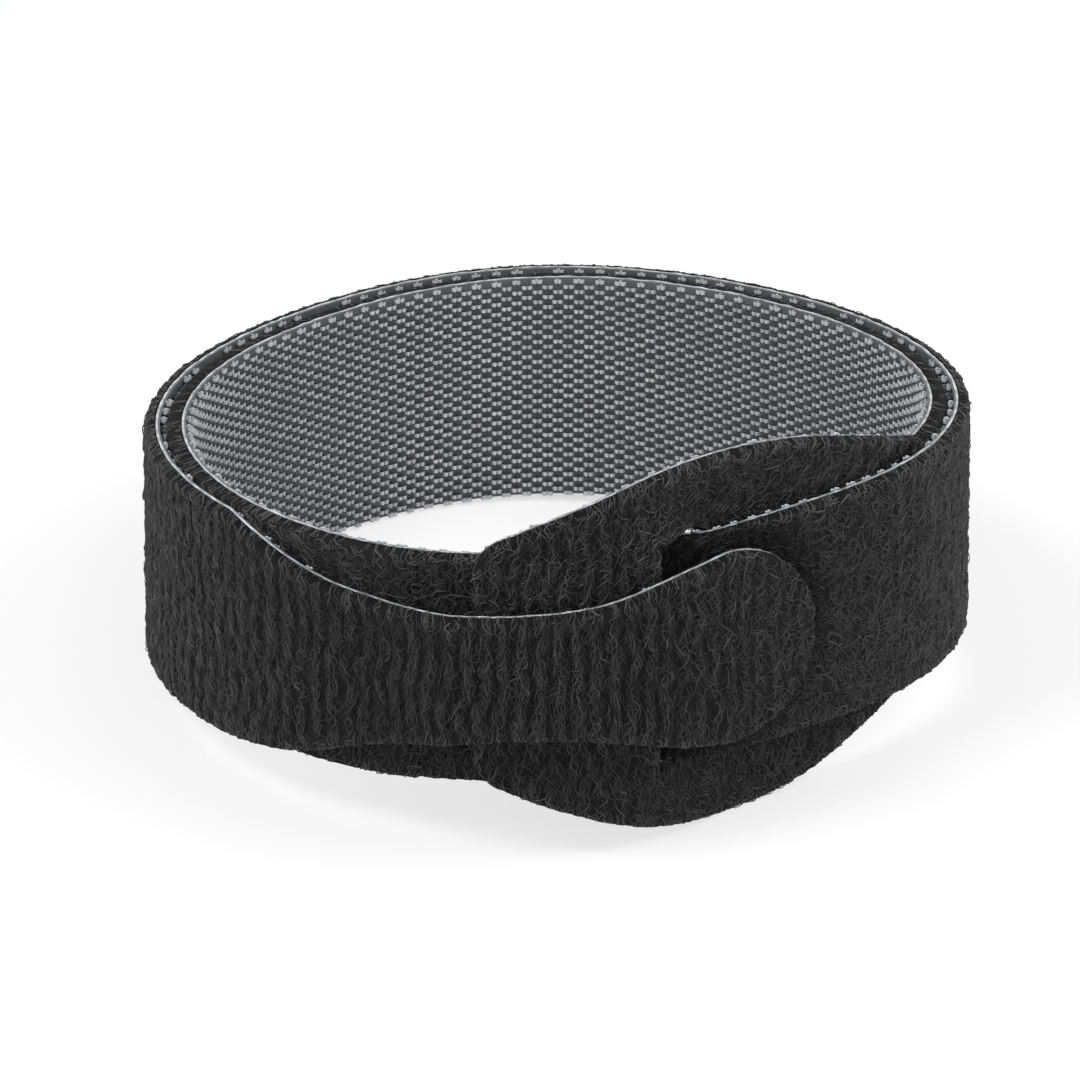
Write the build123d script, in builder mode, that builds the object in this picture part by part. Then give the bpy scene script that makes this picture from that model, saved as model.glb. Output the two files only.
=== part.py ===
from build123d import *
import math
import os

# A one-piece hook-and-loop cable tie with a slotted head, wound in two turns.
# Moulded hooks face inwards, a knitted loop pile faces outwards, and a bond film joins the two.
# The strap starts at the head's tip, runs once round as the inner turn, passes out through the
# slit in its own head, runs round again as the outer turn and ends in a waisted tab.
# The outer turn and the tab are a chain of short links that peel open about upright hinge lines.
#
# Frame: origin at the middle of the loop at half the strap's width, +Z along the loop's axis,
# the head towards -Y. Angles are in degrees round +Z from +X and keep growing along the strap.
# A lift is a distance outwards from the inner face of the inner turn's film.

# Strap
width = 12.7
hook_depth = 0.25
film_top = 0.12
bond_top = 0.20
pile_top = 0.90
pitch = 1.38

# Loop: mean radius, and how far it is out of round as (lobes, depth, direction of one lobe)
loop_radius = 18.36
lobes = ((2, 1.4, 30.0), (3, 0.5, 6.0), (4, 0.4, 0.0))

# Head: outline as (angle, half width, height of its middle), and the slit
head_tip = -101.4
head_end = -10.0
head_outline = (
    (head_tip, 6.42, 0.78),
    (-88, 8.42, 0.55),
    (-74, 9.88, 0.22),
    (-57, 10.2, -0.20),
    (-40, 9.67, -0.23),
    (-25, 8.22, -0.03),
    (head_end, width / 2, 0.0),
)
head_corner = 1.2
slit_span = (-73.5, -63.5)
slit_half_length = 7.0

# Way of the strap under the flap, out through the slit, and of the tab up over the head's tip
crossing_start = 250.0
exit_ramp = (284.0, 299.0)
tab_ramp = (602.0, 617.0)

# Tab: outline as (angle, half width, height of its middle), and its round tip
tab_outline = (
    (578, width / 2, 0.0),
    (588, 5.60, -0.38),
    (594, 5.02, -0.43),
    (600, 4.42, -0.27),
    (606, 3.97, -0.02),
    (612, 3.68, 0.32),
    (624, 3.45, 0.55),
    (636, 3.80, 0.40),
    (648, 4.82, 0.28),
    (657, 5.33, 0.30),
)
tip_start = 657.0
tab_tip = 676.0

# Links of the outer turn and the tab
first_hinge = 300.0
link_count = 13
first_tab_link = 11
film_gap = math.degrees(0.03 / loop_radius)
pile_gap = math.degrees(0.30 / loop_radius)
plan_step = 2.5
outline_step = 1.25


def smooth(value, span):
    """0 before the span, 1 after it and an S-curve between."""
    t = min(1, max(0, (value - span[0]) / (span[1] - span[0])))
    return t * t * (3 - 2 * t)


def through(points, column, angle):
    """Smooth curve through one column of a few hand-placed points, read at an angle."""
    spans = [i for i in range(len(points) - 1) if points[i][0] <= angle]
    i = spans[-1] if spans else 0
    a0, a1 = points[i][0], points[i + 1][0]
    h0, h1 = points[i][column], points[i + 1][column]
    before = points[max(i - 1, 0)]
    after = points[min(i + 2, len(points) - 1)]
    m0 = (h1 - before[column]) / (a1 - before[0]) * (a1 - a0)
    m1 = (after[column] - h0) / (after[0] - a0) * (a1 - a0)
    t = min(1, max(0, (angle - a0) / (a1 - a0)))
    s0 = (2 * t**3 - 3 * t**2 + 1) * h0 + (t**3 - 2 * t**2 + t) * m0
    return s0 + (3 * t**2 - 2 * t**3) * h1 + (t**3 - t**2) * m1


def radius(angle):
    return loop_radius + sum(depth * math.cos(math.radians(n * (angle - at))) for n, depth, at in lobes)


def base_point(angle):
    a = math.radians(angle)
    return Vector(radius(angle) * math.cos(a), radius(angle) * math.sin(a), 0)


def direction(angle):
    return (base_point(angle + 0.01) - base_point(angle - 0.01)).normalized()


def outward(angle):
    along = direction(angle)
    return Vector(along.Y, -along.X, 0)


def heading(angle):
    """Direction of travel in degrees; it keeps growing with the angle."""
    along = direction(angle)
    turn = math.degrees(math.atan2(along.Y, along.X))
    return turn + 360 * round((angle + 90 - turn) / 360)


def angle_at(wanted):
    low, high = wanted - 150, wanted - 30
    for _ in range(40):
        middle = (low + high) / 2
        low, high = (middle, high) if heading(middle) < wanted else (low, middle)
    return (low + high) / 2


def head_lift(angle):
    return pitch * (1 - smooth(angle, slit_span))


def strap_lift(angle):
    return pitch * (smooth(angle, exit_ramp) + smooth(angle, tab_ramp))


def head_half(angle):
    """Half width of the head, with its tip's corners rounded."""
    along = min(head_corner, (angle - head_tip) * math.radians(1) * radius(angle))
    rounding = head_corner - math.sqrt(head_corner**2 - (head_corner - along) ** 2)
    return through(head_outline, 1, angle) - rounding


def head_middle(angle):
    return through(head_outline, 2, angle)


def strap_half(angle):
    """Half width of the strap: plain, then waisted, then an elliptical tip."""
    if angle <= tab_outline[0][0]:
        return width / 2
    if angle < tip_start:
        return min(width / 2, through(tab_outline, 1, angle))
    reach = (angle - tip_start) / (tab_tip - tip_start)
    return tab_outline[-1][1] * math.sqrt(max(0.004, 1 - reach**2))


def strap_middle(angle):
    return through(tab_outline, 2, angle)


def point(angle, lift):
    return base_point(angle) + outward(angle) * lift


def stations(start, end, step, marks=()):
    """Both ends, the marks and every whole multiple of the step between them, shared by all layers."""
    multiples = [step * i for i in range(math.ceil(start / step), math.floor(end / step) + 1)]
    between = [a for a in (*multiples, *marks) if start + 0.05 < a < end - 0.05]
    return [start, *sorted(between), end]


def plan_profile(start, end, lower, upper, lift, marks=()):
    """Plan of a strip between two lifts, drawn at the strap's lower edge."""
    angles = stations(start, end, plan_step, marks)
    inner = [point(a, lift(a) + lower) for a in angles]
    outer = [point(a, lift(a) + upper) for a in angles]
    with BuildSketch(Plane.XY.offset(-width / 2)) as profile:
        with BuildLine():
            Polyline(*inner, *reversed(outer), close=True)
        make_face()
    return profile.sketch


def cross_sections(start, end, lower, upper, lift, half, middle, marks=()):
    """Upright sections across a strip whose width changes."""
    sections = []
    for a in stations(start, end, outline_step, marks):
        centre = point(a, lift(a) + (lower + upper) / 2) + Vector(0, 0, middle(a))
        with BuildSketch(Plane(origin=centre, x_dir=outward(a), z_dir=direction(a))) as section:
            Rectangle(upper - lower, 2 * half(a))
        sections.append(section.sketch)
    return sections


def finish(node, solid):
    solid.label = node
    export_step(solid, f"parts/{node}.step")


os.makedirs("parts", exist_ok=True)

layers = (
    ("hook_film", -hook_depth, film_top),
    ("bond_film", film_top, bond_top),
    ("loop_pile", bond_top, pile_top),
)

# Head: flap, slit and neck in one piece
for layer, lower, upper in layers:
    with BuildPart() as head:
        sections = cross_sections(head_tip + 0.02, head_end, lower, upper, head_lift, head_half, head_middle)
        loft(sections, ruled=True)
        with BuildSketch(Plane.XY.offset(-slit_half_length)):
            with BuildLine():
                Polyline(
                    point(slit_span[0], -3),
                    point(slit_span[0], 4),
                    point(slit_span[1], 4),
                    point(slit_span[1], -3),
                    close=True,
                )
            make_face()
        extrude(amount=2 * slit_half_length, mode=Mode.SUBTRACT)
    finish(f"head_{layer}", head.part)

# Inner turn, from the head's neck round to where the flap begins
for layer, lower, upper in layers:
    with BuildPart() as inner_turn:
        extrude(plan_profile(head_end, crossing_start, lower, upper, strap_lift), amount=width)
    finish(f"inner_turn_{layer}", inner_turn.part)

# Crossing, held under the flap and in the slit, up to the first hinge
for layer, lower, upper in layers:
    with BuildPart() as crossing:
        extrude(plan_profile(crossing_start, first_hinge, lower, upper, strap_lift), amount=width)
    finish(f"slit_crossing_{layer}", crossing.part)

# Outer turn and tab: links that each turn through the same angle
turn_per_link = (heading(tab_tip) - heading(first_hinge)) / link_count
hinges = [angle_at(heading(first_hinge) + turn_per_link * i) for i in range(link_count)] + [tab_tip]
for number in range(1, link_count + 1):
    start, end = hinges[number - 1], hinges[number]
    in_turn = number < first_tab_link
    name = f"outer_turn_{number:02d}" if in_turn else f"tail_tab_{number - first_tab_link + 1}"
    marks = (start + pile_gap, end - pile_gap)
    for layer, lower, upper in layers:
        limits = marks if layer == "loop_pile" else (start + film_gap, end - film_gap)
        with BuildPart() as link:
            if end <= tab_outline[0][0]:
                extrude(plan_profile(*limits, lower, upper, strap_lift, marks), amount=width)
            else:
                shape = (strap_lift, strap_half, strap_middle)
                loft(cross_sections(*limits, lower, upper, *shape, marks), ruled=True)
        finish(f"{name}_{layer}", link.part)
    hinge = point(start, strap_lift(start) + bond_top)
    print(f"{name}: hinge at {hinge.X:.4f}, {hinge.Y:.4f}, link {start:.2f} to {end:.2f}")
print(f"each hinge opens {turn_per_link:.3f} degrees")

length = sum(
    (point(a + 0.5, strap_lift(a + 0.5)) - point(a - 0.5, strap_lift(a - 0.5))).length
    for a in range(int(head_tip), int(tab_tip))
)
print(f"strap length {length:.1f} mm")
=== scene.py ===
# %% [markdown]
# # A hook-and-loop cable tie, wound in two turns
#
# The object is one flexible strap, cut from a three-layer laminate: a thin nylon film with moulded
# hooks on the inside, a bond film in the middle and a knitted, brushed fleece on the outside. One end
# is a bulged head with a slit. The strap goes once round, passes out through the slit, goes round
# again and ends in a waisted tab that lies on top of the head.
#
# The CAD frame gives the place and the bodies. It is loaded first.

import math

import bpy
import numpy as np
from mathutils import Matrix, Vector


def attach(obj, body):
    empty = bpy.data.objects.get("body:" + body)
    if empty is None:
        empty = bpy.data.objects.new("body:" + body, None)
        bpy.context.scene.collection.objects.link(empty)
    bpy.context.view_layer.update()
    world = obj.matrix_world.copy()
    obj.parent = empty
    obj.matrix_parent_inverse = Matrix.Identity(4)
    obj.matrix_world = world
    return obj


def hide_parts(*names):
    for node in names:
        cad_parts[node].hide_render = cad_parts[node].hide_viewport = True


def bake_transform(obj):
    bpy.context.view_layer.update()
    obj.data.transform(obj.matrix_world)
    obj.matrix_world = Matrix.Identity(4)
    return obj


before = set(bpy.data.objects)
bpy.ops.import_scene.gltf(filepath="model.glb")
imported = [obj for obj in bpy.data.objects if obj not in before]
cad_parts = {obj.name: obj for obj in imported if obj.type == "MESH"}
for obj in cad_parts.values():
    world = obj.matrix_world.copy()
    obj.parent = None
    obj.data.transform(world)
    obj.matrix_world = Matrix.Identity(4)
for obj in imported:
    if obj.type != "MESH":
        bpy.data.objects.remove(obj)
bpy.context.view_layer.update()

# %% [markdown]
# ## The strap's own map
#
# Everything on the strap is placed by three numbers: how far along the strap it is, how high it is
# on the strap's width, and how far it stands out from the film's inner face. A map turns these into
# a place in the room. Hooks, fibres and sheets can then all be thought of as lying on a flat strap,
# which is far simpler than placing ten thousand hooks on a spiral one by one. The sizes are the
# CAD model's own, in millimetres, and angles are in degrees and keep growing along the strap.

# %% sizes of the strap
width = 12.7
film_top, bond_top = 0.12, 0.20
pitch = 1.38
loop_radius = 18.36
lobes = ((2, 1.4, 30.0), (3, 0.5, 6.0), (4, 0.4, 0.0))
head_tip, head_end, head_corner = -101.4, -10.0, 1.2
head_outline = (
    (head_tip, 6.42, 0.78), (-88, 8.42, 0.55), (-74, 9.88, 0.22), (-57, 10.2, -0.20),
    (-40, 9.67, -0.23), (-25, 8.22, -0.03), (head_end, width / 2, 0.0),
)
slit_span, slit_low_end, slit_high_end = (-73.5, -63.5), -6.1, 6.45
crossing_start = 250.0
exit_ramp, tab_ramp = (284.0, 299.0), (602.0, 617.0)
tab_outline = (
    (578, width / 2, 0.0), (588, 5.60, -0.38), (594, 5.02, -0.43), (600, 4.42, -0.27), (606, 3.97, -0.02),
    (612, 3.68, 0.32), (624, 3.45, 0.55), (636, 3.80, 0.40), (648, 4.82, 0.28), (657, 5.33, 0.30),
)
tip_start, tab_tip = 657.0, 676.0
first_hinge, link_count, first_tab_link = 300.0, 13, 11
print("two layers lie", pitch, "mm apart")


# %% curves that shape the strap
def smooth(value, span=(0.0, 1.0)):
    """0 before the span, 1 after it and an S-curve between."""
    t = np.clip((value - span[0]) / (span[1] - span[0]), 0, 1)
    return t * t * (3 - 2 * t)


def through(points, column, angle):
    """Smooth curve through one column of a few given points, read at many angles."""
    knots, heights = np.array(points, float)[:, [0, column]].T
    last = len(knots) - 1
    ahead, behind = np.minimum(np.arange(last + 1) + 1, last), np.maximum(np.arange(last + 1) - 1, 0)
    slopes = (heights[ahead] - heights[behind]) / (knots[ahead] - knots[behind])
    i = np.clip(np.searchsorted(knots, angle, side="right") - 1, 0, last - 1)
    gap = knots[i + 1] - knots[i]
    t = np.clip((angle - knots[i]) / gap, 0, 1)
    rise = (2 * t**3 - 3 * t**2 + 1) * heights[i] + (3 * t**2 - 2 * t**3) * heights[i + 1]
    return rise + gap * ((t**3 - 2 * t**2 + t) * slopes[i] + (t**3 - t**2) * slopes[i + 1])


def radius(angle):
    return loop_radius + sum(depth * np.cos(np.radians(n * (angle - at))) for n, depth, at in lobes)


def half_width(angle):
    """Half of the strap's width: the bulged head, the plain strap, the waisted tab and its round tip."""
    angle = np.asarray(angle, float)
    corner = np.clip((angle - head_tip) * np.radians(1) * radius(angle), 0, head_corner)
    rounding = head_corner - np.sqrt(head_corner**2 - (head_corner - corner) ** 2)
    head = through(head_outline, 1, angle) - rounding
    tab = np.minimum(width / 2, through(tab_outline, 1, angle))
    reach = np.clip((angle - tip_start) / (tab_tip - tip_start), 0, 1)
    tip = tab_outline[-1][1] * np.sqrt(np.maximum(0.004, 1 - reach**2))
    plain = np.full_like(angle, width / 2)
    regions = [angle < head_end, angle <= tab_outline[0][0], angle < tip_start]
    return np.select(regions, [head, plain, tab], tip)


def middle(angle):
    """Where the middle of the width lies: the head and the tab wander a little up and down."""
    return np.where(angle < head_end, through(head_outline, 2, angle), through(tab_outline, 2, angle))


def lift(angle, across=0.0):
    """How far the film is outside the inner turn: one pitch for each layer below it.

    The head steps down steeply at its slit, but gently along the two bridges beside the slit.
    """
    ramps = smooth(angle, exit_ramp) + smooth(angle, tab_ramp)
    bridge = smooth(np.abs(across), (6.4, 9.5))
    steep, gentle = 1 - smooth(angle, slit_span), 1 - smooth(angle, (-88.0, -52.0))
    return pitch * np.where(angle < head_end, steep + (gentle - steep) * bridge, ramps)


print("the head is", round(2 * float(half_width(-57.0)), 1), "mm wide")


# %% from the strap to the room
def plan(angle):
    a = np.radians(angle)
    return np.stack([radius(angle) * np.cos(a), radius(angle) * np.sin(a)], -1)


def travel(angle):
    """Unit vector along the strap."""
    step = plan(angle + 0.01) - plan(angle - 0.01)
    return step / np.linalg.norm(step, axis=-1, keepdims=True)


def film_line(angle):
    along = travel(angle)
    return plan(angle) + np.stack([along[..., 1], -along[..., 0]], -1) * lift(angle)[..., None]


table_angle = np.linspace(head_tip - 6, tab_tip + 6, 8001)
table_step = np.linalg.norm(np.diff(film_line(table_angle), axis=0), axis=1)
table_reach = np.concatenate([[0], np.cumsum(table_step)])
table_reach -= np.interp(head_tip, table_angle, table_reach)


def reach_at(angle):
    """Distance along the strap from the head's tip, in millimetres."""
    return np.interp(angle, table_angle, table_reach)


def angle_at(reach):
    return np.interp(reach, table_reach, table_angle)


def place(angle, across, height):
    """Point in the room, in metres: on the strap at an angle, on its width and off the film's face."""
    angle, across, height = np.broadcast_arrays(angle, across, height)
    along = travel(angle)
    outward = np.stack([along[..., 1], -along[..., 0]], -1)
    flat = plan(angle) + outward * (lift(angle, across) + height)[..., None]
    return np.concatenate([flat, across[..., None]], -1) * 0.001


print("the strap is", round(float(reach_at(tab_tip)), 1), "mm long")

# %% [markdown]
# ## Where the strap bends
#
# The outer turn and the tab are thirteen stiff links in the CAD, hinged one after the other. Real
# fabric doesn't have links, so each looks piece reaches from the middle of one link to the middle of
# the next, curving smoothly across the hinge between them; these pieces are fixed where they are
# made and ride on no link. The head, the inner turn and the crossing ride on the root body.


# %% stretches of strap
def heading(angle):
    along = travel(np.asarray(angle, float))
    turn = math.degrees(math.atan2(along[1], along[0]))
    return turn + 360 * round((angle + 90 - turn) / 360)


def angle_with_heading(wanted):
    low, high = wanted - 150, wanted - 30
    for _ in range(40):
        centre = (low + high) / 2
        low, high = (centre, high) if heading(centre) < wanted else (low, centre)
    return (low + high) / 2


first_heading, last_heading = heading(first_hinge), heading(tab_tip)
turn_per_link = (last_heading - first_heading) / link_count
hinges = [angle_with_heading(first_heading + turn_per_link * i) for i in range(link_count)] + [tab_tip]
links = [
    f"outer_turn_{i:02d}" if i < first_tab_link else f"tail_tab_{i - first_tab_link + 1}"
    for i in range(1, link_count + 1)
]
first_cut = 296.0
cuts = [first_cut] + [(a + b) / 2 for a, b in zip(hinges[:-2], hinges[1:-1])] + [tab_tip]
root = "head_and_inner_turn"
tip_allowance = 0.02
stretches = [
    ("head", head_tip + tip_allowance, head_end, (root,)),
    ("inner_turn", head_end, crossing_start, (root,)),
    ("slit_crossing", crossing_start, cuts[0], (root,)),
]
stretches += [
    (link, start, end, (before, link))
    for link, before, start, end in zip(links, [root] + links, cuts, cuts[1:])
]
for stretch in stretches:
    print(stretch[0], round(stretch[1], 1), "to", round(stretch[2], 1), "on", " and ".join(stretch[3]))

# %% [markdown]
# ## Camera, lamps and floor
#
# The tie is seen from the front and about 24 degrees above, through a long lens far away, so that
# the near and far rims look nearly parallel. The light is a plain studio: an even pale room and large
# soft lamps above. The floor is tilted a little, because the tie rests on the bulge of its head and
# on the far lower rim.

# %% camera
elevation = math.radians(23.95)
distance, shift_left, shift_down = 0.688, 0.00044, 0.00107
toward_camera = Vector((0, -math.cos(elevation), math.sin(elevation)))
camera_up = Vector((0, math.sin(elevation), math.cos(elevation)))
camera = bpy.data.objects.new("camera", bpy.data.cameras.new("camera"))
bpy.context.scene.collection.objects.link(camera)
camera.data.sensor_width = 36.0
camera.data.lens = 433.3
camera.data.clip_start = 0.01
camera.location = toward_camera * distance - Vector((shift_left, 0, 0)) - camera_up * shift_down
camera.rotation_euler = (math.pi / 2 - elevation, 0, 0)
bpy.context.scene.camera = camera
print("camera at", [round(v, 4) for v in camera.location])


# %% lamps
def soft_lamp(name, place_from, size, power):
    """Square white area lamp that faces the tie."""
    lamp = bpy.data.lights.new(name, "AREA")
    lamp.shape = "SQUARE"
    lamp.size = size
    lamp.energy = power
    holder = bpy.data.objects.new(name, lamp)
    bpy.context.scene.collection.objects.link(holder)
    holder.location = place_from
    holder.rotation_euler = (-Vector(place_from)).to_track_quat("-Z", "Y").to_euler()


soft_lamp("lamp_above_left", (-0.35, -0.25, 0.55), 0.22, 2.4)
soft_lamp("lamp_above_right", (0.42, -0.05, 0.42), 0.30, 1.5)
soft_lamp("lamp_front", (0.05, -0.70, 0.25), 0.40, 0.9)
print("three soft lamps")

# %% [markdown]
# ## Writing finishes as sums
#
# A finish is a small network of shader nodes. Written out link by link it is hard to read, so a
# socket is wrapped in a class that knows arithmetic: `1 - grain * 0.4` then adds the Math nodes.
# Every other node comes from one method, which takes its kind, its settings and its sockets. The
# finishes of the strap, the floor's paint and the white room are all written with it.


# %% a socket that knows arithmetic
class Shade:
    """A socket of a network. Sums on it add Math nodes."""

    def __init__(self, network, socket):
        self.network = network
        self.socket = socket

    def maths(self, operation, first, second):
        return self.network.node("ShaderNodeMath", {"operation": operation}, {0: first, 1: second})

    def __add__(self, other):
        return self.maths("ADD", self, other)

    def __sub__(self, other):
        return self.maths("SUBTRACT", self, other)

    def __rsub__(self, other):
        return self.maths("SUBTRACT", other, self)

    def __mul__(self, other):
        return self.maths("MULTIPLY", self, other)

    __radd__, __rmul__ = __add__, __mul__


class Network:
    """A tree of shader nodes, emptied and built again node by node."""

    def __init__(self, tree):
        self.tree = tree
        tree.nodes.clear()

    def node(self, kind, settings=None, sockets=None, output=0):
        made = self.tree.nodes.new(kind)
        for name, value in (settings or {}).items():
            setattr(made, name, value)
        for name, value in (sockets or {}).items():
            if isinstance(value, Shade):
                self.tree.links.new(value.socket, made.inputs[name])
            else:
                made.inputs[name].default_value = value
        return Shade(self, made.outputs[output]) if made.outputs else None


class Finish(Network):
    """The network of a material, with the parts that the finishes of the strap share."""

    def __init__(self, name):
        self.material = bpy.data.materials.new(name)
        self.material.use_nodes = True
        super().__init__(self.material.node_tree)

    def value(self, name):
        """A number that is stored on the mesh's points."""
        return self.node("ShaderNodeAttribute", {"attribute_name": name}, {}, "Fac")

    def mix(self, factor, low, high):
        sockets = {0: factor, 6: low, 7: high}
        return self.node("ShaderNodeMix", {"data_type": "RGBA"}, sockets, 2)

    def strap_map(self, along_scale, across_scale):
        """Strap coordinates as a vector, so that a pattern can be stretched along or across."""
        along, across = self.value("along"), self.value("across")
        sockets = {0: along * along_scale, 1: across * across_scale}
        return self.node("ShaderNodeCombineXYZ", {}, sockets)

    def noise(self, along_scale, across_scale, detail=3.0):
        sockets = {"Vector": self.strap_map(along_scale, across_scale), "Scale": 1.0, "Detail": detail}
        return self.node("ShaderNodeTexNoise", {}, sockets)

    def bump(self, height, strength, depth):
        sockets = {"Height": height, "Strength": strength, "Distance": depth}
        return self.node("ShaderNodeBump", {}, sockets)

    def surface(self, sockets):
        shader = self.node("ShaderNodeBsdfPrincipled", {}, sockets)
        self.node("ShaderNodeOutputMaterial", {}, {"Surface": shader})
        print("finish", self.material.name, "has", len(self.tree.nodes), "nodes")
        return self.material


def grey(level, tint=(1.0, 1.0, 1.0)):
    """A grey as written on a screen, 0 to 255, with a slight tint, as a linear colour."""
    linear = (level / 255) ** 2.2
    return (linear * tint[0], linear * tint[1], linear * tint[2], 1.0)


cool = (0.97, 1.0, 1.03)
print("a mid grey of 128 is", round(grey(128)[0], 3), "in linear light")

# %% [markdown]
# ## Fleece
#
# The outside is warp-knitted nylon whose loops were brushed up. Two things make its look: a dark,
# lumpy ground with grooves between the knitted wales, and single curly strands that catch the light.
# The ground is a sheet with real grooves and the strands are real thin tubes; their finish adds what
# is finer than that: thread streaks across the strap, uneven dye, and a soft sheen. It also paints
# light and shade: the ground darker where it lies low, the strands darker in the grooves and round
# the tab's tip, and a painted highlight on the strands near the cut edges.

# %% finish of the fleece ground
ground = Finish("fleece_ground")
streaks = ground.noise(14.0, 2.2, 4.0)
blotches = ground.noise(0.5, 0.4, 2.0)
# painted shade: the ground's colour follows the height of its top, darker where it lies low: in the grooves,
# at the rounded edges and where the tab's tip presses it
shade_by_height = ground.value("level")
tone = streaks * 0.5 + blotches * 0.2 + shade_by_height * 0.9 - 0.55
fleece_ground = ground.surface({
    "Base Color": ground.mix(tone, grey(7), grey(30)),
    "Roughness": 0.95 - streaks * 0.1,
    "Sheen Weight": 0.03,
    "Sheen Roughness": 0.6,
    "Specular IOR Level": 0.12,
    "Normal": ground.bump(streaks + ground.noise(30.0, 12.0, 2.0) * 0.6, 0.8, 0.00012),
})

# %% finish of the strands
strand = Finish("fleece_strand")
# painted light on the strands: besides random dye, the stored value carries painted shade in the grooves and
# round the tab's tip and a painted highlight near the cut edges
dye_and_painted_light = strand.value("dye_and_painted_light")
strand_grain = strand.noise(9.0, 9.0, 2.0)
fleece_strand = strand.surface({
    "Base Color": strand.mix(dye_and_painted_light, grey(17), grey(78)),
    "Roughness": 0.62 - strand_grain * 0.15,
    "Sheen Weight": 0.05,
    "Specular IOR Level": 0.35,
    "Normal": strand.bump(strand_grain, 0.3, 0.00002),
})

# %% [markdown]
# ## Hook film
#
# The inside is one extruded piece of dark nylon: a thin film with rows of double hooks. The hooks'
# crowns are glossy, and the light they catch is painted on as a highlight, so they are much paler
# than the film between them; they are also made shinier. How pale a point is comes from a number on
# the mesh, which is high on the lit tops of the crowns and never low on a hook that the cutting die
# has sliced open at the strap's edge.

# %% finish of the film and of the hooks
film = Finish("hook_film_nylon")
film_grain = film.noise(6.0, 6.0, 3.0)
hook_film_nylon = film.surface({
    "Base Color": film.mix(film_grain, grey(76, cool), grey(112, cool)),
    "Roughness": 0.5 - film_grain * 0.15,
    "Specular IOR Level": 0.45,
    "Normal": film.bump(film_grain, 0.3, 0.00003),
})

hook = Finish("hook_nylon")
# painted highlight: the stored number paints the crowns' lit tops pale and the bridge and undersides darker
crown_highlight = hook.value("crown_highlight")
hook_grain = hook.noise(5.0, 5.0, 2.0)
hook_nylon = hook.surface({
    "Base Color": hook.mix(crown_highlight * 0.85 + hook_grain * 0.3 - 0.15, grey(74, cool), grey(226, cool)),
    "Roughness": 0.45 - crown_highlight * 0.12,
    "Specular IOR Level": 0.5,
    "Normal": hook.bump(hook_grain, 0.15, 0.00002),
})

# %% [markdown]
# ## Bond film
#
# Film and fleece are joined by a thin layer of paler plastic. It only shows where the strap was cut:
# as a fine pale line along every edge, a little broken because the die crushes it unevenly.

# %% finish of the bond film
bond = Finish("bond_film_edge")
nicks = bond.noise(1.6, 1.6, 4.0)
bond_film_edge = bond.surface({
    "Base Color": bond.mix(nicks * 2.2 - 0.6, grey(110, cool), grey(218, cool)),
    "Roughness": 0.55 - nicks * 0.2,
    "Specular IOR Level": 0.45,
    "Normal": bond.bump(nicks, 0.4, 0.00003),
})


# %% [markdown]
# ## Meshes from arrays
#
# Ten thousand hooks and tens of thousands of strands are too many to add one vertex at a time.
# Their points are worked out as whole arrays, and one helper hands the arrays to Blender.


# %% mesh and noise helpers
def make_piece(name, points, faces, material, values):
    """A mesh object from arrays of points and faces, with numbers stored on its points."""
    mesh = bpy.data.meshes.new(name)
    mesh.vertices.add(len(points))
    mesh.vertices.foreach_set("co", np.ascontiguousarray(points, np.float32).ravel())
    corners = np.concatenate([f.ravel() for f in faces])
    sides = np.concatenate([np.full(len(f), f.shape[1]) for f in faces])
    mesh.loops.add(len(corners))
    mesh.loops.foreach_set("vertex_index", corners.astype(np.int32))
    mesh.polygons.add(len(sides))
    mesh.polygons.foreach_set("loop_start", (np.cumsum(sides) - sides).astype(np.int32))
    mesh.update(calc_edges=True)
    for key, numbers in values.items():
        stored = mesh.attributes.new(key, "FLOAT", "POINT")
        stored.data.foreach_set("value", np.ascontiguousarray(numbers, np.float32).ravel())
    mesh.materials.append(material)
    mesh.shade_smooth()
    mesh.set_sharp_from_angle(angle=math.radians(60))
    piece = bpy.data.objects.new(name, mesh)
    bpy.context.scene.collection.objects.link(piece)
    return piece


def uneven(x, y, seed):
    """Smooth seeded noise from -1 to 1 over a plane, with one bump or so per unit."""
    size = 256
    lattice = np.random.default_rng(seed).uniform(-1, 1, (size, size))
    i, j = np.floor(x).astype(int), np.floor(y).astype(int)
    u, v = smooth(x - i), smooth(y - j)
    i0, i1, j0, j1 = i % size, (i + 1) % size, j % size, (j + 1) % size
    near = lattice[i0, j0] * (1 - u) + lattice[i1, j0] * u
    far = lattice[i0, j1] * (1 - u) + lattice[i1, j1] * u
    return near * (1 - v) + far * v


def fasten(piece, stretch):
    """The piece rides on its body; a piece with two bodies has its place baked into its points instead."""
    _, start, end, bodies = stretch
    if len(bodies) == 1:
        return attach(piece, bodies[0])
    ends = [place(np.array(a), 0.0, bond_top).tolist() for a in (start, end)]
    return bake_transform(piece)


print("helpers ready")

# %% [markdown]
# ## Layers of the strap
#
# Film, bond film and fleece ground are all the same kind of thing: a grid of points along and across
# the strap, once at the bottom and once at the top, with walls round every border. In the head, the
# cells inside the slit are left out, and the walls then line the slit too.


# %% a closed layer
slit_lane, slit_share = 0.7, 0.8
lane_knots = [-1.0, -slit_lane, slit_lane, 1.0]


def lanes_across(angles, lanes, margin):
    """Height on the strap's width for each lane; in the head, two lanes follow the slit's ends."""
    half = half_width(angles) + margin(angles)
    centre = middle(angles)
    in_head = angles < head_end
    head_low = np.maximum(slit_low_end, centre - half * slit_share)
    head_high = np.minimum(slit_high_end, centre + half * slit_share)
    slit_low = np.where(in_head, head_low, centre - half * slit_lane)
    slit_high = np.where(in_head, head_high, centre + half * slit_lane)
    knots = np.stack([centre - half, slit_low, slit_high, centre + half], -1)
    return np.stack([np.interp(lanes, lane_knots, row) for row in knots])


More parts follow.
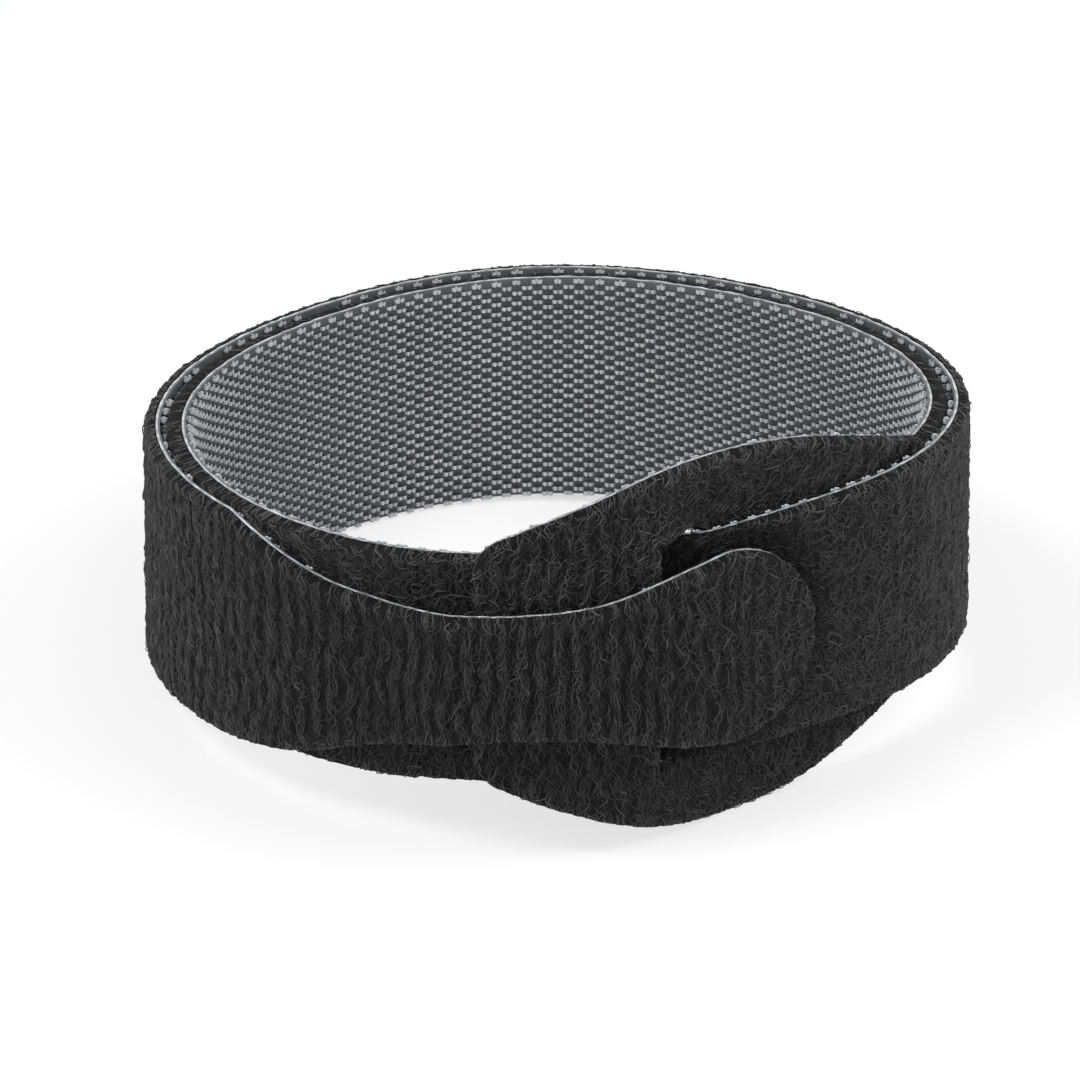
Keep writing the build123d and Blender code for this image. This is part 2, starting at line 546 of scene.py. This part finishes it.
def layer(stretch, step, lanes, bottom, top, margin=np.zeros_like):
    """Points, faces and stored numbers of a layer between two heights, which may vary over the strap.

    The margin says how far the layer stands out of the cut edges, angle by angle.
    """
    name, start, end, _ = stretch
    count = max(2, round((reach_at(end) - reach_at(start)) / step))
    angles = angle_at(np.linspace(reach_at(start), reach_at(end), count + 1))
    if name == "head":
        angles = np.sort(np.unique(np.append(angles, slit_span)))
    if end == tab_tip:
        rounded = tip_start + (tab_tip - tip_start) * np.sin(np.linspace(0, math.pi / 2, 24))
        angles = np.concatenate([angles[angles < tip_start - 0.2], rounded])
    across = lanes_across(angles, lanes, margin)
    grid = np.broadcast_to(angles[:, None], across.shape)
    rows, columns = grid.shape
    index = np.arange(rows * columns).reshape(rows, columns)
    centre = (angles[1:] + angles[:-1]) / 2
    kept = np.ones((rows - 1, columns - 1), bool)
    if name == "head":
        in_slit = (centre > slit_span[0]) & (centre < slit_span[1])
        lane_centre = (lanes[1:] + lanes[:-1]) / 2
        kept &= ~(in_slit[:, None] & (np.abs(lane_centre) < slit_lane)[None])
    total = rows * columns
    lower = np.stack([index[:-1, :-1], index[1:, :-1], index[1:, 1:], index[:-1, 1:]], -1)[kept]
    upper = lower[:, ::-1] + total
    edges = np.concatenate([lower[:, [0, 1]], lower[:, [1, 2]], lower[:, [2, 3]], lower[:, [3, 0]]])
    keys = edges[:, 0] * total + edges[:, 1]
    mirrored = edges[:, 1] * total + edges[:, 0]
    first, second = edges[~np.isin(keys, mirrored)].T
    walls = np.stack([second, first, first + total, second + total], -1)
    heights = [np.broadcast_to(h(grid, across) if callable(h) else h, grid.shape) for h in (bottom, top)]
    points = np.concatenate([place(grid, across, h).reshape(-1, 3) for h in heights])
    values = {
        "along": np.tile(reach_at(grid).ravel(), 2),
        "across": np.tile(across.ravel(), 2),
        # level: the top's height, which the fleece ground's finish turns into painted shade on low ground
        "level": np.concatenate([np.zeros(grid.size), heights[1].ravel() - bond_top]) / 0.6,
    }
    return points, np.concatenate([lower, upper, walls]), values


print("layers can be made")

# %% [markdown]
# ## Shape of the pile
#
# Knitting leaves columns of loops, the wales, about a millimetre apart and running across the strap.
# Where the pile still stands in columns, grooves show between them, painted darker still as shade;
# where it was brushed or handled more, as on the head, on the strap beside it and near the tab's tip,
# they are fainter. The inner turn's pile is fuller, because it is drawn into the hooks of the turn
# over it, and round the tab's tip it is pressed down; the strands there and a little beyond are
# painted darker as shade, which sets the tip off with a dark rim.

# %% ground of the fleece
wale = 0.95
root_height, pile_height, fuller, pressing = 0.12, 0.58, 0.20, 0.26
groove_depth, lump_height = 0.14, 0.03
edge_round, covered_edge_round, groove_fade = 0.26, 0.12, 1.2


def wale_phase(reach, across):
    """Number of wales up to a point; the wales wander, a lot in long waves and a little in short ones."""
    long_waves = 0.34 * uneven(reach / 3.1, across / 1.3, 3)
    return reach / wale + long_waves + 0.10 * uneven(reach / 0.9, across / 0.5, 5)


def order(angle):
    """1 where the wales stand in clear columns, less where the pile is brushed."""
    flap = 0.35 * (1 - smooth(angle, (-82.0, -70.0)))
    brushed_tip = 1 - 0.8 * smooth(angle, (640.0, 670.0))
    return 0.35 + flap + 0.65 * smooth(angle, (340.0, 420.0)) * brushed_tip


def to_edge(angle, across):
    """Distance to the nearest cut edge, in millimetres."""
    far_off = 99
    reach = reach_at(angle)
    side = half_width(angle) - np.abs(across - middle(angle))
    ends = np.minimum(reach, reach_at(tab_tip) - reach)
    slit_along = np.maximum(reach_at(slit_span[0]) - reach, reach - reach_at(slit_span[1]))
    slit_across = np.maximum(slit_low_end - across, across - slit_high_end)
    slit = np.where(angle < head_end, np.maximum(slit_along, slit_across), far_off)
    return np.clip(np.minimum(np.minimum(side, ends), slit), 0, far_off)


def pressed_and_shaded(angle, across):
    """1 where the tab's round tip lies on the pile, down to 0 a little way beside it; the pile is lowered
    there and its strands are painted darker as shade.
    """
    along_tip = (angle + 360 - tip_start) / (tab_tip - tip_start)
    up_tip = (across - middle(tab_tip)) / tab_outline[-1][1]
    beside = np.hypot(np.maximum(along_tip, 0), up_tip)
    return np.where(angle > head_end, 1 - smooth(beside, (1.08, 1.48)), 0) * (along_tip > -0.6)


def ground_height(angle, across):
    """Height of the ground between the strands, rounded off at the cut edges."""
    reach, edge = reach_at(angle), to_edge(angle, across)
    groove = 0.5 - 0.5 * np.cos(2 * np.pi * wale_phase(reach, across))
    lumps = 0.5 * uneven(reach / 0.55, across / 0.7, 7) + 0.5 * uneven(reach / 0.28, across / 0.4, 9)
    covered = (angle > head_end) & (angle < crossing_start)
    thick = pile_height + fuller * covered - pressing * pressed_and_shaded(angle, across) + lump_height * lumps
    thick = thick - groove_depth * order(angle) * groove**2 * np.clip(edge / groove_fade, 0.25, 1)
    rounding = np.clip(edge / np.where(covered, covered_edge_round, edge_round), 0, 1)
    return bond_top + root_height + (thick - root_height) * np.sqrt(1 - (1 - rounding) ** 2 * 0.999)


rim_lanes = 0.07 * np.linspace(0, 1, 6) ** 1.5
fine_lanes = np.unique(np.concatenate([
    -1 + rim_lanes, np.linspace(-0.93, -slit_lane, 8), np.linspace(-slit_lane, slit_lane, 44),
    np.linspace(slit_lane, 0.93, 8), 1 - rim_lanes,
]))
print(len(fine_lanes), "lanes across the fleece")


# %% strands of the fleece
def strand_tubes(line, out, thickness):
    """Three-sided tubes along many lines at once."""
    count, knots, _ = line.shape
    along = np.gradient(line, axis=1)
    along /= np.linalg.norm(along, axis=2, keepdims=True) + 1e-12
    side = np.cross(along, out)
    side /= np.linalg.norm(side, axis=2, keepdims=True) + 1e-12
    up = np.cross(side, along)
    ring = [side * math.cos(q) + up * math.sin(q) for q in (math.pi / 2, math.pi * 7 / 6, math.pi * 11 / 6)]
    points = np.stack([line + direction * thickness for direction in ring], 2)
    corner = np.arange(3)[None, None, :]
    first = np.arange(count)[:, None, None] * knots * 3 + np.arange(knots - 1)[None, :, None] * 3
    cell, next_side = first + corner, first + (corner + 1) % 3
    faces = np.stack([cell, next_side, next_side + 3, cell + 3], -1).reshape(-1, 4)
    return points.reshape(-1, 3), faces


def strands(start, end, per_square_mm, seed):
    """Curly strands: both ends sit in the ground and the middle arches up."""
    random = np.random.default_rng(seed)
    length = reach_at(end) - reach_at(start)
    widest = float(np.max(half_width(np.linspace(start, end, 60))))
    count = round(length * 2 * widest * per_square_mm)
    reach = reach_at(start) + random.uniform(0, length, count)
    across = random.uniform(-widest, widest, count) + middle(angle_at(reach))
    angle = angle_at(reach)
    room = half_width(angle) - np.abs(across - middle(angle))
    inside = (to_edge(angle, across) > 0.05) & (room > 0.03)
    reach, across, angle = reach[inside], across[inside], angle[inside]
    count = len(reach)

    # Draw each strand towards its wale's crest, then give it a length, an aim and a curl
    tidy = order(angle)
    draw = 0.75 * wale / (2 * np.pi)
    reach = reach - tidy * draw * np.sin(2 * np.pi * wale_phase(reach, across))
    size = random.lognormal(-0.08, 0.32, count).clip(0.4, 1.7)
    wander = 0.26 + 0.85 * (1 - tidy)
    aim = random.normal(0, wander, count) + np.pi / 2 + np.pi * random.integers(0, 2, count)
    turn = random.normal(0, 1.7 - 0.9 * tidy, count)
    swing = random.normal(0, 0.5, count)

    # Walk along the strand in short strides over the flat strap
    steps = 6
    t = np.linspace(0, 1, steps + 1)[None]
    bearing = aim[:, None] + turn[:, None] * (t - 0.5) + swing[:, None] * np.sin(2 * np.pi * t)
    stride_along = np.cos(bearing) * size[:, None] / steps
    stride_across = np.sin(bearing) * size[:, None] / steps
    s = reach[:, None] + np.cumsum(stride_along, 1) - stride_along.sum(1)[:, None] / 2
    z = across[:, None] + np.cumsum(stride_across, 1) - stride_across.sum(1)[:, None] / 2
    arch = random.gamma(2.6, 0.024, count).clip(0.015, 0.18)[:, None] * np.sin(np.pi * t) ** 0.7

    # Keep it on the strap, lay it on the ground and make it a tube
    walk_angle = angle_at(s)
    centre, half = middle(walk_angle), half_width(walk_angle)
    overhang, sunk = 0.06, 0.03
    z = np.clip(z, centre - half - overhang, centre + half + overhang)
    on_ground = np.clip(z, centre - half, centre + half)
    h = ground_height(walk_angle, on_ground) - sunk + arch
    line = place(walk_angle, z, h)
    out = place(walk_angle, z, h + 1.0) - line
    out /= np.linalg.norm(out, axis=2, keepdims=True)
    thickness = 0.001 * random.uniform(0.026, 0.042, count)[:, None, None]
    points, faces = strand_tubes(line, out, thickness)

    # Dye and painted light: random dye, a little paler where brushed; painted shade on strands off the wale
    # crests and in a dark rim round the tab's tip; a painted highlight near the cut edges
    crest = 0.5 + 0.5 * np.cos(2 * np.pi * wale_phase(reach, across))
    dye_and_painted_light_of = random.beta(2.2, 2.4, count) * (1 - 0.6 * tidy * (1 - crest)) + 0.06 * (1 - tidy)
    dye_and_painted_light_of += 0.24 * (to_edge(angle, across) < 0.45)
    dye_and_painted_light_of *= 1 - 0.8 * pressed_and_shaded(angle, across)
    dye_and_painted_light_of = np.where(random.random(count) < 0.003, 2.6, dye_and_painted_light_of)
    values = {
        "along": np.repeat(s.ravel(), 3),
        "across": np.repeat(z.ravel(), 3),
        "dye_and_painted_light": np.repeat(dye_and_painted_light_of, (steps + 1) * 3),
    }
    return points, faces, values


print("strands can be made")

# %% fleece on every stretch
usual_density = 22.0
densities = {"head": [usual_density] * 4, "inner_turn": [9.0, 9.0, 9.0, 20.0]}
faces_per_strand = 18
strand_total = 0
for number, stretch in enumerate(stretches):
    name, start, end, _ = stretch
    step = 0.24 if name == "inner_turn" else 0.13
    points, faces, values = layer(stretch, step, fine_lanes, bond_top, ground_height)
    piece = make_piece(f"{name}_fleece", points, [faces], fleece_ground, values)
    fasten(piece, stretch)
    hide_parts(f"{name}_loop_pile")
    wanted = densities.get(name, [usual_density])
    limits = np.linspace(start, end, len(wanted) + 1)
    for part, (first, last) in enumerate(zip(limits, limits[1:])):
        points, faces, values = strands(first, last, wanted[part], 100 + 5 * number + part)
        piece = make_piece(f"{name}_strands_{part + 1}", points, [faces], fleece_strand, values)
        fasten(piece, stretch)
        strand_total += len(faces) // faces_per_strand
        print(piece.name, len(faces), "faces")
print(strand_total, "strands")

# %% [markdown]
# ## Film and its edge
#
# The film is the thinnest layer, and the bond film beside it stands a hair's breadth proud of the
# cut, so that its pale line shows along the edge. How far it stands out wanders a little, as the
# die crushes it, so the line comes and goes instead of looking ruled.

# %% film and bond film
plain_lanes = np.array([-1.0, -slit_lane, 0.0, slit_lane, 1.0])
overlap = 0.02


def crushed(angle):
    """How far the bond film stands out of the cut."""
    return np.maximum(0.004, 0.028 + 0.036 * uneven(reach_at(angle) / 0.4, 0 * angle, 21))


for stretch in stretches:
    name = stretch[0]
    points, faces, values = layer(stretch, 0.35, plain_lanes, 0.0, film_top)
    piece = make_piece(f"{name}_film", points, [faces], hook_film_nylon, values)
    fasten(piece, stretch)
    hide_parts(f"{name}_hook_film")
    bottom, top = film_top - overlap, bond_top + overlap
    points, faces, values = layer(stretch, 0.2, plain_lanes, bottom, top, crushed)
    piece = make_piece(f"{name}_edge_film", points, [faces], bond_film_edge, values)
    fasten(piece, stretch)
    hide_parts(f"{name}_bond_film")
print(len(stretches), "stretches of film")

# %% [markdown]
# ## Hooks
#
# A moulded double hook is a short stem with two crooks that curl away from each other, one forwards
# and one backwards along the strap. Seen from above it is a pair of knuckles with a bridge between,
# and a painted highlight makes the knuckles bright and the bridge darker. The profile is drawn once
# as a bent bar and copied to every place of a staggered grid.
# Hooks that the cutting die went through are pale all over and uneven, and on the outer turn some
# are torn off.

# %% hook profile and grid
column_pitch, row_pitch, first_row = 0.567, 0.58, 0.13
crook = np.array([
    (-0.250, -0.08), (-0.225, -0.19), (-0.135, -0.26), (0.0, -0.18),
    (0.135, -0.26), (0.225, -0.19), (0.250, -0.08),
])
bar_half = np.array([0.070, 0.105, 0.112, 0.085, 0.112, 0.105, 0.070])
bar_thick = np.array([0.05, 0.08, 0.09, 0.08, 0.09, 0.08, 0.05])
# painted highlight along each crook: strongest on the two knuckles, weak on the bridge and the ends
crook_highlight = np.array([0.1, 0.6, 1.0, 0.22, 1.0, 0.6, 0.1])


def hook_points():
    """One hook around its own foot: distance along, distance across and height, and its painted highlight.
    """
    slope = np.gradient(crook, axis=0)
    slope /= np.linalg.norm(slope, axis=1, keepdims=True)
    normal = np.stack([slope[:, 1], -slope[:, 0]], -1)
    ring = [(-1, 0.75), (-0.55, -0.15), (0.55, -0.15), (1, 0.75), (0, 1.0)]
    points, tone = [], []
    for (s, h), (ns, nh), half, thick, light in zip(crook, normal, bar_half, bar_thick, crook_highlight):
        for w, depth in ring:
            points.append((s + ns * thick * depth, w * half, h + nh * thick * depth))
            # the outer top of each crook gets the full painted highlight and its underside less, as painted
            # shade
            tone.append(light * (1.0 if depth > 0.5 else 0.3))
    faces = [
        (i * 5 + k, i * 5 + (k + 1) % 5, i * 5 + 5 + (k + 1) % 5, i * 5 + 5 + k)
        for i in range(len(crook) - 1) for k in range(5)
    ]
    foot = len(points)
    for s, w, h in ((0.09, 0.09, 0.02), (0.05, 0.07, -0.17)):
        points += [(-s, -w, h), (s, -w, h), (s, w, h), (-s, w, h)]
        tone += [0.0] * 4
    faces += [(foot + k, foot + (k + 1) % 4, foot + 4 + (k + 1) % 4, foot + 4 + k) for k in range(4)]
    caps = [(0, 1, 2, 3, 4), tuple(len(crook) * 5 - 1 - k for k in range(5))]
    return np.array(points), np.array(tone), np.array(faces), np.array(caps)


hook_shape, hook_highlight, hook_faces, hook_caps = hook_points()
print("one hook has", len(hook_shape), "points")


# %% hooks on every stretch
clean_edge_from = 570
cut_within, torn_share = 0.22, 0.25
slit_clear_degrees, slit_clear_mm, end_clear = 1.2, 0.2, 0.3


def hooks(start, end, seed):
    """All hooks between two angles: places of the grid that are on the strap and clear of the slit."""
    random = np.random.default_rng(seed)
    first, last = math.ceil(reach_at(start) / column_pitch), math.ceil(reach_at(end) / column_pitch)
    column, row = np.meshgrid(np.arange(first, last), np.arange(-8, 30), indexing="ij")
    column, row = column.ravel(), row.ravel()
    s = (column + 0.5) * column_pitch
    angle = angle_at(s)
    z = width / 2 - first_row - (row + 0.5 * (column % 2)) * row_pitch
    room = half_width(angle) - np.abs(z - middle(angle))
    by_slit = (angle > slit_span[0] - slit_clear_degrees) & (angle < slit_span[1] + slit_clear_degrees)
    by_slit &= (angle < head_end) & (np.abs(z) < slit_high_end + slit_clear_mm)
    ends = np.minimum(s, reach_at(tab_tip) - s)
    least = np.where(angle > clean_edge_from, 0.16, 0.10)
    good = (room > least) & ~by_slit & (ends > end_clear)
    good &= (room > cut_within) | (angle < first_hinge) | (random.random(len(s)) > torn_share)
    s, z, room = s[good], z[good], room[good]
    count = len(s)
    s = s + random.normal(0, 0.012, count)
    cut = room < cut_within
    wide = np.where(cut, random.uniform(0.65, 1.12, count), random.uniform(0.94, 1.06, count))
    tall = np.where(cut, random.uniform(0.6, 1.0, count), random.uniform(0.92, 1.05, count))
    lean = random.normal(0, 0.02, count)
    local_s = hook_shape[None, :, 0] * wide[:, None]
    local_h = hook_shape[None, :, 2] * tall[:, None]
    local_z = hook_shape[None, :, 1] * np.where(cut, 1.1, 1.0)[:, None] + lean[:, None] * local_h
    reach = s[:, None] + local_s
    points = place(angle_at(reach), z[:, None] + local_z, local_h)
    size = len(hook_shape)
    shift = (np.arange(count) * size)[:, None, None]
    faces = [(hook_faces[None] + shift).reshape(-1, 4), (hook_caps[None] + shift).reshape(-1, 5)]
    # painted highlight, varied a little from hook to hook; hooks cut by the die are pale all over
    light = hook_highlight[None] * random.uniform(0.8, 1.1, count)[:, None]
    light = np.where(cut[:, None], 0.45 + 0.45 * light, light)
    values = {"along": reach, "across": z[:, None] + local_z, "crown_highlight": light}
    return points.reshape(-1, 3), faces, {k: v.ravel() for k, v in values.items()}


hook_total = 0
for number, stretch in enumerate(stretches):
    name, start, end, _ = stretch
    parts = 3 if name == "inner_turn" else 1
    limits = np.linspace(start, end, parts + 1)
    for part in range(parts):
        label = f"{name}_hooks" if parts == 1 else f"{name}_hooks_{part + 1}"
        points, faces, values = hooks(limits[part], limits[part + 1], 500 + 10 * number + part)
        piece = make_piece(label, points, faces, hook_nylon, values)
        fasten(piece, stretch)
        hook_total += len(points) // len(hook_shape)
print(hook_total, "hooks")

# %% [markdown]
# ## Room and floor
#
# The room is plain white where the camera looks at it, straight or through clear plastic, and a
# little darker as a light, so that the black fleece keeps its depth. The floor is a wide plate whose
# finish is partly white light and partly matt paint near the tie, where the paint keeps the shadow,
# and only white light further out.

# %% room
world = bpy.data.worlds.new("room")
bpy.context.scene.world = world
world.use_nodes = True
room = Network(world.node_tree)
straight = room.node("ShaderNodeLightPath", {}, {}, "Is Camera Ray")
through_clear = room.node("ShaderNodeLightPath", {}, {}, "Is Transmission Ray")
seen = room.node("ShaderNodeMath", {"operation": "MAXIMUM"}, {0: straight, 1: through_clear})
lighting = room.node("ShaderNodeBackground", {}, {"Color": (1, 1, 1, 1), "Strength": 0.6})
white = room.node("ShaderNodeBackground", {}, {"Color": (1, 1, 1, 1), "Strength": 1.0})
choice = room.node("ShaderNodeMixShader", {}, {0: seen, 1: lighting, 2: white})
room.node("ShaderNodeOutputWorld", {}, {"Surface": choice})
bpy.context.scene.view_settings.view_transform = "Standard"
print("white room")

# %% floor
front_rest = Vector((0.0095, -0.0146, -0.0105))
sideways = Vector((0.838, 0.545, 0))
backwards = Vector((-0.545, 0.838, 0))
rest_distance, rest_rise = 0.0349, 0.00405
slope = (backwards * rest_distance + Vector((0, 0, rest_rise))).normalized()
rings, spokes = 24, 64
radii = np.geomspace(0.01, 3.0, rings)
turns = np.linspace(0, 2 * math.pi, spokes, endpoint=False)
disc = [front_rest]
disc += [front_rest + sideways * (r * math.cos(q)) + slope * (r * math.sin(q)) for r in radii for q in turns]
disc = np.array(disc)
ring = 1 + np.arange((rings - 1) * spokes).reshape(rings - 1, spokes)
beside = np.roll(ring, -1, 1)
quads = np.stack([ring, beside, beside + spokes, ring + spokes], -1).reshape(-1, 4)
spoke = np.arange(spokes)
hub = np.stack([np.zeros(spokes, int), 1 + spoke, 1 + np.roll(spoke, -1)], -1)
paint = Finish("floor_white")
distance_out = np.linalg.norm(disc - disc[0], axis=1)
far_out = smooth(distance_out, (0.03, 0.12))
ray = paint.node("ShaderNodeLightPath", {}, {}, "Is Camera Ray")
far = paint.value("far")
matt = paint.node("ShaderNodeBsdfDiffuse", {}, {"Color": (0.9, 0.9, 0.9, 1)})
glow = paint.node("ShaderNodeEmission", {}, {"Color": (1, 1, 1, 1), "Strength": 1.0})
glow_share = ray * (far * 0.35 + 0.65)
share = paint.node("ShaderNodeMixShader", {}, {0: glow_share, 1: matt, 2: glow})
paint.node("ShaderNodeOutputMaterial", {}, {"Surface": share})
floor = make_piece("floor", disc, [quads, hub], paint.material, {"far": far_out})
print("floor leans", round(math.degrees(math.asin(slope.z)), 1), "degrees")
